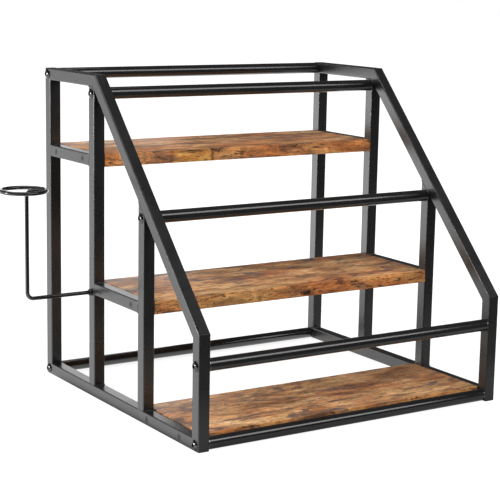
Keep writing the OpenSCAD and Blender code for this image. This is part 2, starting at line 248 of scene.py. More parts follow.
def decor_group() -> bpy.types.NodeTree:
    """Builds the shader group for rustic brown wood with its grain along X.

    Returns:
        A group that takes coordinates, the strength of cracks and of smears and puts out
        colour, grain and height.
    """
    tree = bpy.data.node_groups.new("rustic_decor", "ShaderNodeTree")
    graph = Graph(tree)
    graph.socket("Vector", "Vector")
    graph.socket("Cracks", "Float", value=0.7)
    graph.socket("Smears", "Float", value=0.6)
    graph.socket("Color", "Color", "OUTPUT")
    graph.socket("Grain", "Float", "OUTPUT")
    graph.socket("Height", "Float", "OUTPUT")
    graph.socket("Block", "Color", "OUTPUT")
    given = graph.add("NodeGroupInput")
    wave = graph.noise(graph.vector("MULTIPLY", given.outputs["Vector"], (7.0, 22.0, 22.0)), 1.0, 3.0)
    shift = graph.math("MULTIPLY", graph.math("SUBTRACT", wave, 0.5), 0.014)
    offset = graph.add("ShaderNodeCombineXYZ", {1: shift, 2: shift}).outputs[0]
    place = graph.vector("ADD", given.outputs["Vector"], offset)

    def streak(stretch: Point, detail: float, rough: float = 0.5, warp: float = 0.0) -> bpy.types.NodeSocket:
        """Returns noise drawn out along the grain."""
        return graph.noise(graph.vector("MULTIPLY", place, stretch), 1.0, detail, rough, warp)

    tone = streak((13.0, 42.0, 42.0), 7.0, 0.66, 0.5)
    colour = graph.ramp(tone, [(0.30, (0.120, 0.056, 0.030)), (0.42, (0.260, 0.118, 0.050)),
                               (0.50, (0.390, 0.192, 0.080)), (0.58, (0.490, 0.262, 0.112)),
                               (0.70, (0.660, 0.420, 0.215))])
    warm = graph.span(streak((8.0, 24.0, 24.0), 4.0, 0.6, 0.3), 0.42, 0.60)
    colour = graph.blend(graph.math("MULTIPLY", warm, 0.55), colour, (0.86, 0.50, 0.36), "MULTIPLY")
    pale = graph.span(streak((10.0, 40.0, 40.0), 6.0, 0.7, 0.6), 0.54, 0.68)
    colour = graph.blend(graph.math("MULTIPLY", pale, 0.45), colour, (0.58, 0.38, 0.20))
    middle = streak((22.0, 230.0, 230.0), 4.0, 0.6)
    fine = streak((60.0, 900.0, 900.0), 2.0, 0.6)
    speck = streak((170.0, 420.0, 420.0), 3.0, 0.7)
    grain = graph.math("ADD", graph.span(middle, 0.30, 0.70, -0.26, 0.26, False),
                       graph.span(fine, 0.30, 0.70, -0.16, 0.16, False))
    grain = graph.math("ADD", grain, graph.span(speck, 0.30, 0.70, -0.22, 0.22, False))
    cloud = graph.span(streak((38.0, 88.0, 88.0), 5.0, 0.72, 0.8), 0.36, 0.64, 0.80, 1.19)
    shade = graph.math("MULTIPLY", graph.math("ADD", grain, 1.0), cloud)
    shades = graph.add("ShaderNodeCombineXYZ", {0: shade, 1: shade, 2: shade}).outputs[0]
    colour = graph.blend(1.0, colour, shades, "MULTIPLY")
    gold = graph.span(streak((9.0, 30.0, 30.0), 4.0, 0.6, 0.4), 0.55, 0.66)
    colour = graph.blend(graph.math("MULTIPLY", gold, 0.28), colour, (0.55, 0.36, 0.15))
    smear = graph.span(streak((15.0, 46.0, 46.0), 7.0, 0.72, 0.9), 0.515, 0.590)
    broken = graph.span(streak((48.0, 120.0, 120.0), 4.0, 0.65), 0.26, 0.54)
    smear = graph.math("MULTIPLY", graph.math("MULTIPLY", smear, broken), given.outputs["Smears"])
    cool = graph.span(streak((7.0, 20.0, 20.0), 3.0), 0.40, 0.60)
    colour = graph.blend(smear, colour, graph.blend(cool, (0.105, 0.056, 0.040), (0.088, 0.074, 0.072)))
    line = graph.math("ABSOLUTE", graph.math("SUBTRACT", streak((16.0, 150.0, 150.0), 3.0, 0.5, 0.4), 0.5))
    line = graph.span(line, 0.0, 0.035, 1.0, 0.0)
    area = graph.span(streak((24.0, 75.0, 75.0), 3.0), 0.55, 0.66)
    crack = graph.math("MULTIPLY", graph.math("MULTIPLY", line, area), given.outputs["Cracks"])
    split = graph.math("ABSOLUTE", graph.math("SUBTRACT", streak((12.0, 55.0, 55.0), 5.0, 0.62, 0.9), 0.5))
    split = graph.span(split, 0.004, 0.024, 1.0, 0.0)
    torn = graph.span(streak((19.0, 48.0, 48.0), 3.0, 0.6), 0.51, 0.60)
    split = graph.math("MULTIPLY", graph.math("MULTIPLY", split, torn), given.outputs["Cracks"])
    crack = graph.math("MAXIMUM", crack, split)
    knots = graph.add("ShaderNodeTexVoronoi", {"Vector": graph.vector("MULTIPLY", place, (15.0, 44.0, 44.0)),
                                               "Scale": 1.0, "Randomness": 1.0})
    pick = graph.add("ShaderNodeSeparateXYZ", {0: knots.outputs["Color"]}).outputs[0]
    chosen = graph.math("GREATER_THAN", pick, 0.80)
    knot = graph.math("MULTIPLY", graph.span(knots.outputs["Distance"], 0.04, 0.30, 1.0, 0.0), chosen)
    knot = graph.math("MULTIPLY", knot, given.outputs["Cracks"])
    pore = graph.span(streak((110.0, 700.0, 700.0), 2.0), 0.60, 0.70, 0.0, 0.65)
    fleck = graph.span(streak((95.0, 330.0, 330.0), 2.0, 0.6), 0.55, 0.63)
    here = graph.span(streak((30.0, 70.0, 70.0), 3.0, 0.6), 0.44, 0.60)
    fleck = graph.math("MULTIPLY", graph.math("MULTIPLY", fleck, here), 0.95)
    pore = graph.math("MAXIMUM", pore, graph.math("MULTIPLY", fleck, given.outputs["Cracks"]))
    dark = graph.math("MAXIMUM", graph.math("MAXIMUM", crack, knot), pore)
    colour = graph.blend(dark, colour, (0.040, 0.024, 0.018))
    height = graph.math("SUBTRACT", graph.math("MULTIPLY", grain, 0.6), dark)
    graph.add("NodeGroupOutput", {"Color": colour, "Grain": graph.span(grain, -0.3, 0.3, 0.0, 1.0, False),
                                  "Height": height, "Block": block_shade(graph, given.outputs["Vector"])})
    return tree


@dataclass(frozen=True)
class Finish:
    """Base of the finishes: a material with a Principled surface."""

    name: str
    colour: Colour
    roughness: float

    def start(self) -> tuple[Graph, bpy.types.Node, bpy.types.Material]:
        """Makes the material with an empty Principled surface.

        Returns:
            Its node graph, its Principled node and the material.
        """
        material = bpy.data.materials.new(self.name)
        material.use_nodes = True
        material.node_tree.nodes.clear()
        graph = Graph(material.node_tree)
        surface = graph.add("ShaderNodeBsdfPrincipled")
        graph.add("ShaderNodeOutputMaterial", {"Surface": surface.outputs[0]})
        surface.inputs["Base Color"].default_value = opaque(self.colour)
        return graph, surface, material


@dataclass(frozen=True)
class CoatedMetal(Finish):
    """Powder coat, black oxide or plating, with a fine texture and faint marks of handling."""

    worn_colour: Colour
    worn_roughness: float
    metallic: float = 0.0
    specular: float = 0.5
    texture_height: float = 0.02 * MM
    texture_scale: float = 1500.0
    smudge_scale: float = 30.0

    def material(self, handling: bpy.types.NodeTree) -> bpy.types.Material:
        """Builds the material.

        Args:
            handling: The shared group for marks and texture.

        Returns:
            The finished material.
        """
        graph, surface, material = self.start()
        place = graph.add("ShaderNodeTexCoord").outputs["Object"]
        marks = graph.add("ShaderNodeGroup", {}, node_tree=handling)
        graph.tree.links.new(place, marks.inputs["Vector"])
        marks.inputs["Smudge Scale"].default_value = self.smudge_scale
        marks.inputs["Texture Scale"].default_value = self.texture_scale
        smudge = marks.outputs["Smudge"]
        links = graph.tree.links
        links.new(graph.blend(smudge, self.colour, self.worn_colour), surface.inputs["Base Color"])
        links.new(graph.span(smudge, 0.0, 1.0, self.roughness, self.worn_roughness, False),
                  surface.inputs["Roughness"])
        bump = graph.add("ShaderNodeBump", {"Strength": 1.0, "Distance": self.texture_height,
                                            "Height": marks.outputs["Height"]})
        links.new(bump.outputs[0], surface.inputs["Normal"])
        surface.inputs["Metallic"].default_value = self.metallic
        surface.inputs["Specular IOR Level"].default_value = self.specular
        return material


@dataclass(frozen=True)
class RusticDecor(Finish):
    """Rustic brown wood decor, satin, with its grain along the board."""

    cracks: float
    smears: float
    grain_roughness: float
    specular: float
    grain_height: float = 0.08 * MM
    staves: float = 0.0
    start_point: Point = (0.0, 0.0, 0.0)
    pale_stave: tuple[float, float] | None = None
    stave_tint: Colour = (1.12, 1.24, 0.92)
    joint_tint: Colour = (0.30, 0.22, 0.18)
    knot: Point | None = None
    knot_reach: Point = (0.0085, 1.0, 0.0036)

    def material(self, decor: bpy.types.NodeTree) -> bpy.types.Material:
        """Builds the material.

        Args:
            decor: The shared group for the wood's pattern.

        Returns:
            The finished material.
        """
        graph, surface, material = self.start()
        place = graph.add("ShaderNodeTexCoord").outputs["Object"]
        moved = graph.add("ShaderNodeMapping", {"Vector": place, "Location": self.start_point}).outputs[0]
        wood = graph.add("ShaderNodeGroup", {}, node_tree=decor)
        links = graph.tree.links
        links.new(moved, wood.inputs["Vector"])
        wood.inputs["Cracks"].default_value = self.cracks
        wood.inputs["Smears"].default_value = self.smears
        tint = graph.blend(1.0, wood.outputs["Color"], self.colour, "MULTIPLY")
        if self.staves > 0.0:
            tint = graph.blend(self.staves, tint, wood.outputs["Block"], "MULTIPLY")
        if self.pale_stave:
            tint = self.with_stave(graph, place, tint)
        if self.knot:
            tint = self.with_knot(graph, place, tint)
        links.new(tint, surface.inputs["Base Color"])
        links.new(graph.span(wood.outputs["Grain"], 0.0, 1.0, self.roughness, self.grain_roughness, False),
                  surface.inputs["Roughness"])
        bump = graph.add("ShaderNodeBump", {"Strength": 1.0, "Distance": self.grain_height,
                                            "Height": wood.outputs["Height"]})
        links.new(bump.outputs[0], surface.inputs["Normal"])
        surface.inputs["Specular IOR Level"].default_value = self.specular
        return material


    def with_stave(self, graph: Graph, place: bpy.types.NodeSocket, tint: bpy.types.NodeSocket
                   ) -> bpy.types.NodeSocket:
        """Lays one paler stave over the wood, which ends in a dark joint.

        Args:
            graph: The material's graph.
            place: The object's coordinates.
            tint: The wood's colour.

        Returns:
            The colour with the stave.
        """
        start, end = self.pale_stave
        along = graph.add("ShaderNodeSeparateXYZ", {0: place}).outputs[0]
        inside = graph.math("MULTIPLY", graph.span(along, start - 12 * MM, start + 12 * MM),
                            graph.math("LESS_THAN", along, end))
        tint = graph.blend(inside, tint, self.stave_tint, "MULTIPLY")
        beside = graph.math("ABSOLUTE", graph.math("SUBTRACT", along, end + 1.5 * MM))
        return graph.blend(graph.span(beside, 0.0, 4 * MM, 0.85, 0.0), tint, self.joint_tint, "MULTIPLY")

    def with_knot(self, graph: Graph, place: bpy.types.NodeSocket, tint: bpy.types.NodeSocket
                  ) -> bpy.types.NodeSocket:
        """Lays one dark knot with a ragged brown rim over the wood.

        Args:
            graph: The material's graph.
            place: The object's coordinates.
            tint: The wood's colour.

        Returns:
            The colour with the knot.
        """
        away = graph.vector("DIVIDE", graph.vector("SUBTRACT", place, self.knot), self.knot_reach)
        reach = graph.add("ShaderNodeVectorMath", {0: away}, operation="LENGTH").outputs[1]
        ragged = graph.span(graph.noise(place, 420.0, 3.0, 0.6), 0.3, 0.7, -0.35, 0.35, False)
        reach = graph.math("ADD", reach, ragged)
        tint = graph.blend(graph.span(reach, 0.8, 1.5, 0.7, 0.0), tint, (0.42, 0.34, 0.31), "MULTIPLY")
        return graph.blend(graph.span(reach, 0.45, 1.0, 1.0, 0.0), tint, (0.022, 0.014, 0.011))


@dataclass
class Finishes:
    """All the finishes of the rack, built once."""

    powder_coat: bpy.types.Material = field(init=False)
    rail_coat: bpy.types.Material = field(init=False)
    wire_coat: bpy.types.Material = field(init=False)
    plated_steel: bpy.types.Material = field(init=False)
    black_plating: bpy.types.Material = field(init=False)
    black_hardware: bpy.types.Material = field(init=False)
    boards: dict[Level, bpy.types.Material] = field(init=False)
    edgings: dict[Level, bpy.types.Material] = field(init=False)

    def __post_init__(self) -> None:
        """Builds the shared groups and the materials."""
        handling = handling_group()
        decor = decor_group()
        self.powder_coat = CoatedMetal("powder_coat", (0.0098, 0.0098, 0.0100), 0.26, (0.012, 0.012, 0.012), 0.31,
                                       specular=0.90, texture_height=0.003 * MM).material(handling)
        self.rail_coat = CoatedMetal("rail_coat", (0.008, 0.008, 0.008), 0.16, (0.010, 0.010, 0.010), 0.20,
                                     specular=0.95, texture_height=0.002 * MM).material(handling)
        self.wire_coat = CoatedMetal("wire_coat", (0.007, 0.007, 0.007), 0.12, (0.008, 0.008, 0.008), 0.16,
                                     specular=0.85, texture_height=0.002 * MM).material(handling)
        self.plated_steel = CoatedMetal("plated_steel", (0.30, 0.30, 0.305), 0.20, (0.24, 0.24, 0.245), 0.28,
                                        metallic=1.0, texture_height=0.002 * MM).material(handling)
        self.black_plating = CoatedMetal("black_plating", (0.095, 0.095, 0.097), 0.10, (0.080, 0.080, 0.082), 0.14,
                                         metallic=1.0, texture_height=0.001 * MM).material(handling)
        self.black_hardware = CoatedMetal("black_hardware", (0.022, 0.022, 0.023), 0.30, (0.03, 0.03, 0.03), 0.42,
                                          specular=0.5, texture_height=0.006 * MM).material(handling)
        starts = {Level.TOP: (0.37, 0.11, 0.05), Level.MIDDLE: (1.92, 0.64, 0.21), Level.BOTTOM: (3.48, 1.27, 0.43)}
        self.boards = {}
        self.edgings = {}
        for level, start in starts.items():
            self.boards[level] = RusticDecor(f"rustic_board_{level.value}", (1.26, 1.29, 1.33), 0.42, 0.75, 0.95, 0.56,
                                             0.35, start_point=start).material(decor)
            staves = 0.5 if level is Level.TOP else 0.3
            pale_stave = PALE_STAVE if level is Level.TOP else None
            knot = EDGE_KNOT if level is Level.MIDDLE else None
            self.edgings[level] = RusticDecor(f"board_edging_{level.value}", (1.51, 1.40, 1.13), 0.42, 1.0, 0.60,
                                              0.56, 0.3, staves=staves, start_point=start, pale_stave=pale_stave,
                                              knot=knot).material(decor)


class GeometryTree(Graph):
    """A geometry node tree with named inputs, which makes a piece and is then baked into its mesh."""

    def __init__(self, name: str, sizes: dict[str, float], whole: Sequence[str] = ()) -> None:
        """Makes the tree with its inputs.

        Args:
            name: The tree's name.
            sizes: Named sizes with their defaults.
            whole: Names of inputs that count something.
        """
        super().__init__(bpy.data.node_groups.new(name, "GeometryNodeTree"))
        self.socket("Geometry", "Geometry")
        for size, value in sizes.items():
            self.socket(size, "Float", value=value)
        for count in whole:
            self.socket(count, "Int", value=8)
        self.socket("Material", "Material")
        self.socket("Geometry", "Geometry", "OUTPUT")
        self.given = self.add("NodeGroupInput").outputs

    def close(self, geometry: bpy.types.NodeSocket) -> None:
        """Ends the tree in Realize Instances and Set Material.

        Args:
            geometry: The finished geometry.
        """
        smooth = self.add("GeometryNodeSetShadeSmooth", {0: geometry}).outputs[0]
        real = self.add("GeometryNodeRealizeInstances", {0: smooth}).outputs[0]
        dressed = self.add("GeometryNodeSetMaterial", {"Geometry": real, "Material": self.given["Material"]})
        self.add("NodeGroupOutput", {0: dressed.outputs[0]})

    def bake(self, obj: bpy.types.Object, values: dict[str, object]) -> bpy.types.Object:
        """Runs the tree on an object and keeps the result as its plain mesh.

        Args:
            obj: The object whose mesh the tree starts from.
            values: Values of the tree's inputs, by name.

        Returns:
            The same object.
        """
        modifier = obj.modifiers.new(self.tree.name, "NODES")
        modifier.node_group = self.tree
        for item in self.tree.interface.items_tree:
            if item.name in values and item.in_out == "INPUT":
                modifier[item.identifier] = values[item.name]
        graph = bpy.context.evaluated_depsgraph_get()
        mesh = bpy.data.meshes.new_from_object(obj.evaluated_get(graph), depsgraph=graph)
        obj.modifiers.clear()
        mesh.name = obj.name
        obj.data = mesh
        return obj


def turned_tube_tree() -> GeometryTree:
    """Builds the tree of a round tube along X, with small rounded rims at its ends.

    Returns:
        The tree, which ignores the mesh that it starts from.
    """
    tree = GeometryTree("turned_tube", {"Length": 0.4, "Diameter": 0.015, "Wall": 0.001, "Rim": 0.0002,
                                        "X": 0.0, "Y": 0.0, "Z": 0.0}, ["Sides"])
    middle = tree.math("MULTIPLY", tree.math("SUBTRACT", tree.given["Diameter"], tree.given["Wall"]), 0.5)
    path = tree.add("GeometryNodeCurvePrimitiveCircle", {"Resolution": tree.given["Sides"], "Radius": middle})
    section = tree.add("GeometryNodeCurvePrimitiveQuadrilateral",
                       {"Width": tree.given["Wall"], "Height": tree.given["Length"]})
    rounded = tree.add("GeometryNodeFilletCurve", {"Curve": section.outputs[0], "Radius": tree.given["Rim"],
                                                   "Count": 3}, mode="POLY")
    skin = tree.add("GeometryNodeCurveToMesh", {"Curve": path.outputs[0], "Profile Curve": rounded.outputs[0]})
    place = tree.add("ShaderNodeCombineXYZ", {0: tree.given["X"], 1: tree.given["Y"], 2: tree.given["Z"]})
    laid = tree.add("GeometryNodeTransform", {"Geometry": skin.outputs[0], "Translation": place.outputs[0],
                                              "Rotation": (0.0, math.pi / 2, 0.0)})
    tree.close(laid.outputs[0])
    return tree


def swept_wire_tree() -> GeometryTree:
    """Builds the tree of a round wire along the edges of a mesh, with its corners bent.

    Returns:
        The tree.
    """
    tree = GeometryTree("swept_wire", {"Diameter": 0.005, "Bend": 0.008}, ["Sides"])
    line = tree.add("GeometryNodeMeshToCurve", {0: tree.given["Geometry"]})
    bent = tree.add("GeometryNodeFilletCurve", {"Curve": line.outputs[0], "Radius": tree.given["Bend"],
                                                "Limit Radius": True, "Count": 14}, mode="POLY")
    radius = tree.math("MULTIPLY", tree.given["Diameter"], 0.5)
    section = tree.add("GeometryNodeCurvePrimitiveCircle", {"Resolution": tree.given["Sides"], "Radius": radius})
    skin = tree.add("GeometryNodeCurveToMesh", {"Curve": bent.outputs[0], "Profile Curve": section.outputs[0],
                                                "Fill Caps": True})
    tree.close(skin.outputs[0])
    return tree


def weld_bead_tree() -> GeometryTree:
    """Builds the tree of a rippled weld bead along the edges of a mesh.

    Returns:
        The tree.
    """
    tree = GeometryTree("weld_bead", {"Radius": 0.001, "Ripple": 0.12, "Pitch": 0.0014, "Step": 0.0004}, ["Sides"])
    line = tree.add("GeometryNodeMeshToCurve", {0: tree.given["Geometry"]})
    fine = tree.add("GeometryNodeResampleCurve", {"Curve": line.outputs[0], "Length": tree.given["Step"]},
                    mode="LENGTH")
    along = tree.add("GeometryNodeSplineParameter").outputs["Length"]
    turns = tree.math("MULTIPLY", tree.math("DIVIDE", along, tree.given["Pitch"]), math.tau)
    wave = tree.math("MULTIPLY", tree.math("SINE", turns), tree.given["Ripple"])
    uneven = tree.span(tree.noise(tree.add("GeometryNodeInputPosition").outputs[0], 450.0, 2.0), 0.3, 0.7, 0.86, 1.14)
    radius = tree.math("MULTIPLY", tree.math("MULTIPLY", tree.math("ADD", wave, 1.0), uneven), tree.given["Radius"])
    section = tree.add("GeometryNodeCurvePrimitiveCircle", {"Resolution": tree.given["Sides"], "Radius": 1.0})
    skin = tree.add("GeometryNodeCurveToMesh", {"Curve": fine.outputs[0], "Profile Curve": section.outputs[0],
                                                "Scale": radius, "Fill Caps": True})
    tree.close(skin.outputs[0])
    return tree


def fastener_tree(master: bpy.types.Object, seed: int) -> GeometryTree:
    """Builds the tree that sets a copy of one fastener on every point of a mesh.

    Args:
        master: The fastener, with its head at the origin and its shank along +Z.
        seed: The seed of each copy's turn about its own axis.

    Returns:
        The tree. It reads the direction of each shank from the attribute way.
    """
    tree = GeometryTree(master.name + "_set", {"Turn": math.tau})
    way = tree.add("GeometryNodeInputNamedAttribute", {"Name": "way"}, data_type="FLOAT_VECTOR").outputs[0]
    aimed = tree.add("FunctionNodeAlignRotationToVector", {"Vector": way}, axis="Z").outputs[0]
    turn = tree.add("FunctionNodeRandomValue", {3: tree.given["Turn"], "Seed": seed}, data_type="FLOAT").outputs[1]
    spin = tree.add("FunctionNodeEulerToRotation",
                    {0: tree.add("ShaderNodeCombineXYZ", {2: turn}).outputs[0]}).outputs[0]
    turned = tree.add("FunctionNodeRotateRotation", {0: aimed, 1: spin}, rotation_space="LOCAL").outputs[0]
    shape = tree.add("GeometryNodeObjectInfo", {"Object": master}).outputs["Geometry"]
    copies = tree.add("GeometryNodeInstanceOnPoints", {"Points": tree.given["Geometry"], "Instance": shape,
                                                       "Rotation": turned})
    real = tree.add("GeometryNodeRealizeInstances", {0: copies.outputs[0]}).outputs[0]
    dressed = tree.add("GeometryNodeSetMaterial", {"Geometry": real, "Material": tree.given["Material"]})
    tree.add("NodeGroupOutput", {0: dressed.outputs[0]})
    return tree


def new_object(name: str, mesh: bpy.types.Mesh) -> bpy.types.Object:
    """Adds an object with a mesh to the scene and returns it."""
    obj = bpy.data.objects.new(name, mesh)
    bpy.context.scene.collection.objects.link(obj)
    return obj


def line_mesh(name: str, lines: Sequence[Sequence[Point]], closed: bool = False) -> bpy.types.Object:
    """Makes an object of loose edges.

    Args:
        name: The object's name.
        lines: Polylines, each a list of points.
        closed: True to join the end of each line to its start.

    Returns:
        The new object.
    """
    points: list[Point] = []
    edges: list[tuple[int, int]] = []
    for line in lines:
        first = len(points)
        points += [tuple(point) for point in line]
        edges += [(i, i + 1) for i in range(first, len(points) - 1)]
        if closed:
            edges.append((len(points) - 1, first))
    mesh = bpy.data.meshes.new(name)
    mesh.from_pydata(points, edges, [])
    return new_object(name, mesh)


def point_mesh(name: str, points: Sequence[Vector], ways: Sequence[Vector]) -> bpy.types.Object:
    """Makes an object of loose points, each with a direction in the attribute way.

    Args:
        name: The object's name.
        points: The points.
        ways: The direction at each point.

    Returns:
        The new object.
    """
    mesh = bpy.data.meshes.new(name)
    mesh.from_pydata([tuple(point) for point in points], [], [])
    attribute = mesh.attributes.new("way", "FLOAT_VECTOR", "POINT")
    for item, way in zip(attribute.data, ways):
        item.vector = way
    return new_object(name, mesh)


def mesh_of(name: str, build: bmesh.types.BMesh, sharp: float = math.radians(35)) -> bpy.types.Mesh:
    """Turns a bmesh into a smooth shaded mesh with its hard edges marked.

    Args:
        name: The mesh's name.
        build: The bmesh, which is freed.
        sharp: The angle from which an edge is hard.

    Returns:
        The new mesh.
    """
    bmesh.ops.recalc_face_normals(build, faces=build.faces)
    mesh = bpy.data.meshes.new(name)
    build.to_mesh(mesh)
    build.free()
    mesh.shade_smooth()
    mesh.set_sharp_from_angle(angle=sharp)
    return mesh


def ringed(build: bmesh.types.BMesh, rings: Sequence[Sequence[Point]], cap_first: bool = True,
           cap_last: bool = True) -> None:
    """Skins a stack of rings that have the same number of points.

    Args:
        build: The bmesh to add to.
        rings: The rings, each a closed list of points.
        cap_first: True to close the first ring with a face.
        cap_last: True to close the last ring with a face.
    """
    made = [[build.verts.new(point) for point in ring] for ring in rings]
    sides = len(made[0])
    for low, high in zip(made, made[1:]):
        for i in range(sides):
            j = (i + 1) % sides
            build.faces.new((low[i], low[j], high[j], high[i]))
    if cap_first:
        build.faces.new(list(reversed(made[0])))
    if cap_last:
        build.faces.new(made[-1])


def circle(radius: float, z: float, sides: int) -> list[Point]:
    """Returns the points of a circle round the Z axis."""
    turns = [math.tau * i / sides for i in range(sides)]
    return [(radius * math.cos(turn), radius * math.sin(turn), z) for turn in turns]


def hexagon(across: float, z: float, sides: int) -> list[Point]:
    """Returns the points of a hexagon round the Z axis.

    Args:
        across: The width across its flats.
        z: Its height.
        sides: The number of points, a multiple of six.

    Returns:
        The points, with one on each corner.
    """
    points = []
    for i in range(sides):
        turn = math.tau * i / sides
        off_flat = turn % (math.pi / 3) - math.pi / 6
        radius = across / 2 / math.cos(off_flat)
        points.append((radius * math.cos(turn), radius * math.sin(turn), z))
    return points


def keep(piece: bpy.types.Object, slot: Slot, *nodes: str) -> bpy.types.Object:
    """Attaches a finished piece to the body and hides the nodes that it stands for.

    Args:
        piece: The piece.
        slot: Not used.
        nodes: The nodes that it stands for.

    Returns:
        The piece.
    """
    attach(piece, BODY)
    if nodes:
        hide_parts(*nodes)
    triangles = sum(len(face.vertices) - 2 for face in piece.data.polygons)
    LOG.info("%s: %d triangles, stands for %s", piece.name, triangles, ", ".join(nodes) or "nothing")
    return piece


def dress(node: str, material: bpy.types.Material) -> None:
    """Gives a node of the frame its finish.

    Args:
        node: The node's name.
        material: The finish.
    """
    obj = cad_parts[node]
    obj.data.materials.clear()
    obj.data.materials.append(material)
    LOG.info("%s: dressed in %s", node, material.name)


@dataclass
class SideFrame:
    """One welded side frame: nine square tubes and the weld beads of their joints."""

    side: Side
    coat: bpy.types.Material
    bead_radius: float = 0.9 * MM
    bead_sides: int = 10
    bead_end_gap: float = 1.2 * MM
    flush_depth: float = 0.62 * MM
    seam_radius: float = 0.5 * MM
    seam_proud: float = 0.28 * MM
    seam_gap: float = 0.6 * MM
    tubes: tuple[str, ...] = ("back_upright", "top_tube", "slanted_tube", "front_upright", "bottom_tube",
                              "rear_inner_upright", "front_inner_upright", "top_shelf_support",
                              "middle_shelf_support")

    def node(self, name: str) -> str:
        """Returns the full name of one of this side's nodes."""
        return f"{self.side.name.lower()}_{name}"

    def box(self, name: str) -> tuple[Vector, Vector]:
        """Returns the lowest and the highest corner of one of this side's nodes."""
        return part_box(self.node(name))

    def joints(self) -> list[list[tuple[float, float]]]:
        """Works out where the tubes meet.

        Returns:
            For each joint the line of contact across the tube, as points of Y and Z.
        """
        slope = self.slope()
        slanted_high = self.box("slanted_tube")[1]
        top_low = self.box("top_tube")[0]
        inside = (slanted_high.y, top_low.z)

        def under(y: float) -> float:
            """Returns the height of the slanted tube's underside."""
            return min(inside[1] + (y - inside[0]) * slope, inside[1])

        found = []
        for name in ("rear_inner_upright", "front_inner_upright"):
            low, high = self.box(name)
            found.append([(low.y, low.z), (high.y, low.z)])
            line = [(low.y, under(low.y)), (high.y, under(high.y))]
            if low.y < inside[0] < high.y:
                line.insert(1, inside)
            found.append(line)
        for name in ("top_shelf_support", "middle_shelf_support"):
            low, high = self.box(name)
            found.append([(low.y, low.z), (low.y, high.z)])
            found.append([(high.y, low.z), (high.y, high.z)])
        return found

    def folds(self) -> tuple[tuple[float, float], tuple[float, float]]:
        """Returns the outer corners of the slanted tube, front and top, as Y and Z."""
        front_high = self.box("front_upright")[1]
        top_low, top_high = self.box("top_tube")
        return (self.box("slanted_tube")[0].y, front_high.z), (top_low.y, top_high.z)

    def slope(self) -> float:
        """Returns the slanted tube's rise along Y."""
        front, top = self.folds()
        return (top[1] - front[1]) / (top[0] - front[0])

    def seam_lines(self) -> list[list[Point]]:
        """Returns the paths of the thin seams on the two outer folds, which stand proud of the slope only."""
        low, high = self.box("bottom_tube")
        length = math.hypot(1.0, self.slope())
        along, out = self.slope() / length, 1.0 / length
        front, top = self.folds()
        reach = self.seam_proud - self.seam_radius
        places = [(front[0] + self.seam_radius, front[1] + (reach + along * self.seam_radius) / out),
                  (top[0] - (reach + out * self.seam_radius) / along, top[1] - self.seam_radius)]
        return [[(low.x + self.seam_gap, y, z), (high.x - self.seam_gap, y, z)] for y, z in places]

    def corners(self) -> list[tuple[float, float]]:
        """Returns the inner corners of the mitred joints, as Y and Z."""
        bottom_low, bottom_high = self.box("bottom_tube")
        back_low, back_high = self.box("back_upright")
        tube = bottom_high.z
        top_low = self.box("top_tube")[0]
        slanted_low, slanted_high = self.box("slanted_tube")
        return [(bottom_low.y + tube, bottom_high.z), (back_low.y, bottom_high.z), (back_low.y, top_low.z),
                (slanted_high.y, top_low.z), (bottom_low.y + tube, slanted_low.z)]

    def bead_lines(self) -> list[list[Point]]:
        """Returns the paths of all beads: across the tubes in the corners, and along the side faces."""
        low, high = self.box("bottom_tube")
        near = low.x + self.bead_end_gap
        far = high.x - self.bead_end_gap
        lines = []
        for joint in self.joints():
            for y, z in (joint[0], joint[-1]):
                lines.append([(near, y, z), (far, y, z)])
            for x in (low.x + self.flush_depth, high.x - self.flush_depth):
                lines.append([(x, y, z) for y, z in joint])
        for y, z in self.corners():
            lines.append([(near, y, z), (far, y, z)])
        return lines

    def build(self, bead: GeometryTree) -> None:
        """Dresses the tubes and makes the weld beads.

        Args:
            bead: The tree of a weld bead.
        """
        for name in self.tubes:
            dress(self.node(name), self.coat)
        beads = line_mesh(self.node("weld_beads"), self.bead_lines())
        bead.bake(beads, {"Radius": self.bead_radius, "Sides": self.bead_sides, "Material": self.coat})
        keep(beads, Slot.POWDER_COAT)
        seams = line_mesh(self.node("fold_seams"), self.seam_lines())
        bead.bake(seams, {"Radius": self.seam_radius, "Sides": self.bead_sides, "Material": self.coat})
        keep(seams, Slot.POWDER_COAT)


@dataclass
class CrossRails:
    """The six round rails between the side frames, with their inserts."""

    coat: bpy.types.Material
    plated: bpy.types.Material
    wall: float = 1.0 * MM
    rim: float = 0.25 * MM
    sides: int = 96
    names: tuple[str, ...] = ("top_back_rail", "top_front_rail", "middle_rail", "front_rail",
                              "bottom_front_rail", "bottom_back_rail")

    def build(self, tube: GeometryTree) -> None:
        """Makes the rails and dresses the inserts.

        Args:
            tube: The tree of a turned tube.
        """
        for name in self.names:
            low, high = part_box(name)
            middle = (low + high) / 2
            rail = new_object(name + "_tube", bpy.data.meshes.new(name + "_tube"))
            tube.bake(rail, {"Length": high.x - low.x, "Diameter": high.z - low.z, "Wall": self.wall,
                             "Rim": self.rim, "X": middle.x, "Y": middle.y, "Z": middle.z,
                             "Sides": self.sides, "Material": self.coat})
            keep(rail, Slot.POWDER_COAT, name)
        dress("rail_inserts", self.plated)

    def ends(self) -> list[tuple[Vector, Vector]]:
        """Finds where the rails' bolts go through the outside of the side frames.

        Returns:
            Points on the outer faces, each with the direction into the rail.
        """
        found = []
        for name in self.names:
            low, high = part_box(name)
            middle = (low + high) / 2
            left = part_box("left_bottom_tube")[0].x
            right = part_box("right_bottom_tube")[1].x
            found.append((Vector((left, middle.y, middle.z)), Vector((1.0, 0.0, 0.0))))
            found.append((Vector((right, middle.y, middle.z)), Vector((-1.0, 0.0, 0.0))))
        return found


